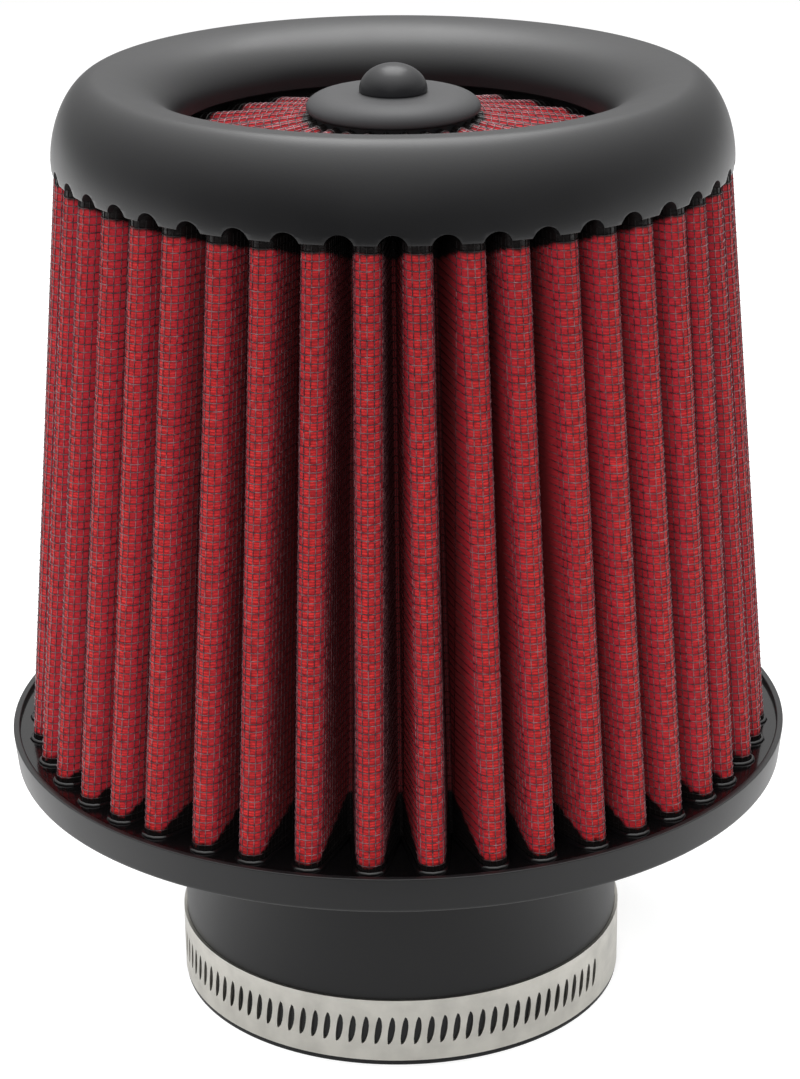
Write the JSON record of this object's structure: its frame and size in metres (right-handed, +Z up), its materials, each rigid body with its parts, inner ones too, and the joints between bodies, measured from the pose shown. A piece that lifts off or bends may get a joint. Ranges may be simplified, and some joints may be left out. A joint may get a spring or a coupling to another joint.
{
  "type": "cone air filter",
  "caption": "Clamp-on cone air filter with a pleated red element, moulded rubber base and neck, cast top ring, pleated top panel and a worm-drive hose clamp.",
  "frame": {"origin": "centre of the neck's open end, on the surface that the filter stands on", "axes": "+Z up the filter's axis from the neck to the top ring; -Y towards the camera; the clamp's housing is on the +Y side and its screw head points to +X"},
  "size_m": [0.1524, 0.1524, 0.1851],
  "materials": {
    "moulded_rubber": "satin black moulding",
    "potting": "glossy black cast resin",
    "element": "red oiled cotton gauze between fine wire screens",
    "cap_rubber": "matte dark grey moulding",
    "plug_rubber": "satin black moulding",
    "band_steel": "satin stainless strip",
    "housing_steel": "satin stainless pressing",
    "screw_steel": "bright zinc-plated steel"
  },
  "bodies": {
    "filter": {"base_flange": "moulded_rubber", "base_potting": "potting", "pleated_media": "element", "top_ring": "moulded_rubber", "top_pleats": "element", "centre_cap": "cap_rubber", "centre_plug": "plug_rubber", "clamp_band": "band_steel", "clamp_housing": "housing_steel"},
    "screw": {"clamp_screw": "screw_steel"}
  },
  "joints": [
    {"name": "clamp_screw_turn", "type": "hinge", "parent": "filter", "child": "screw", "pos_m": [0, 0.04975, 0.0076], "axis": [-1, 0, 0], "continuous": true}
  ]
}
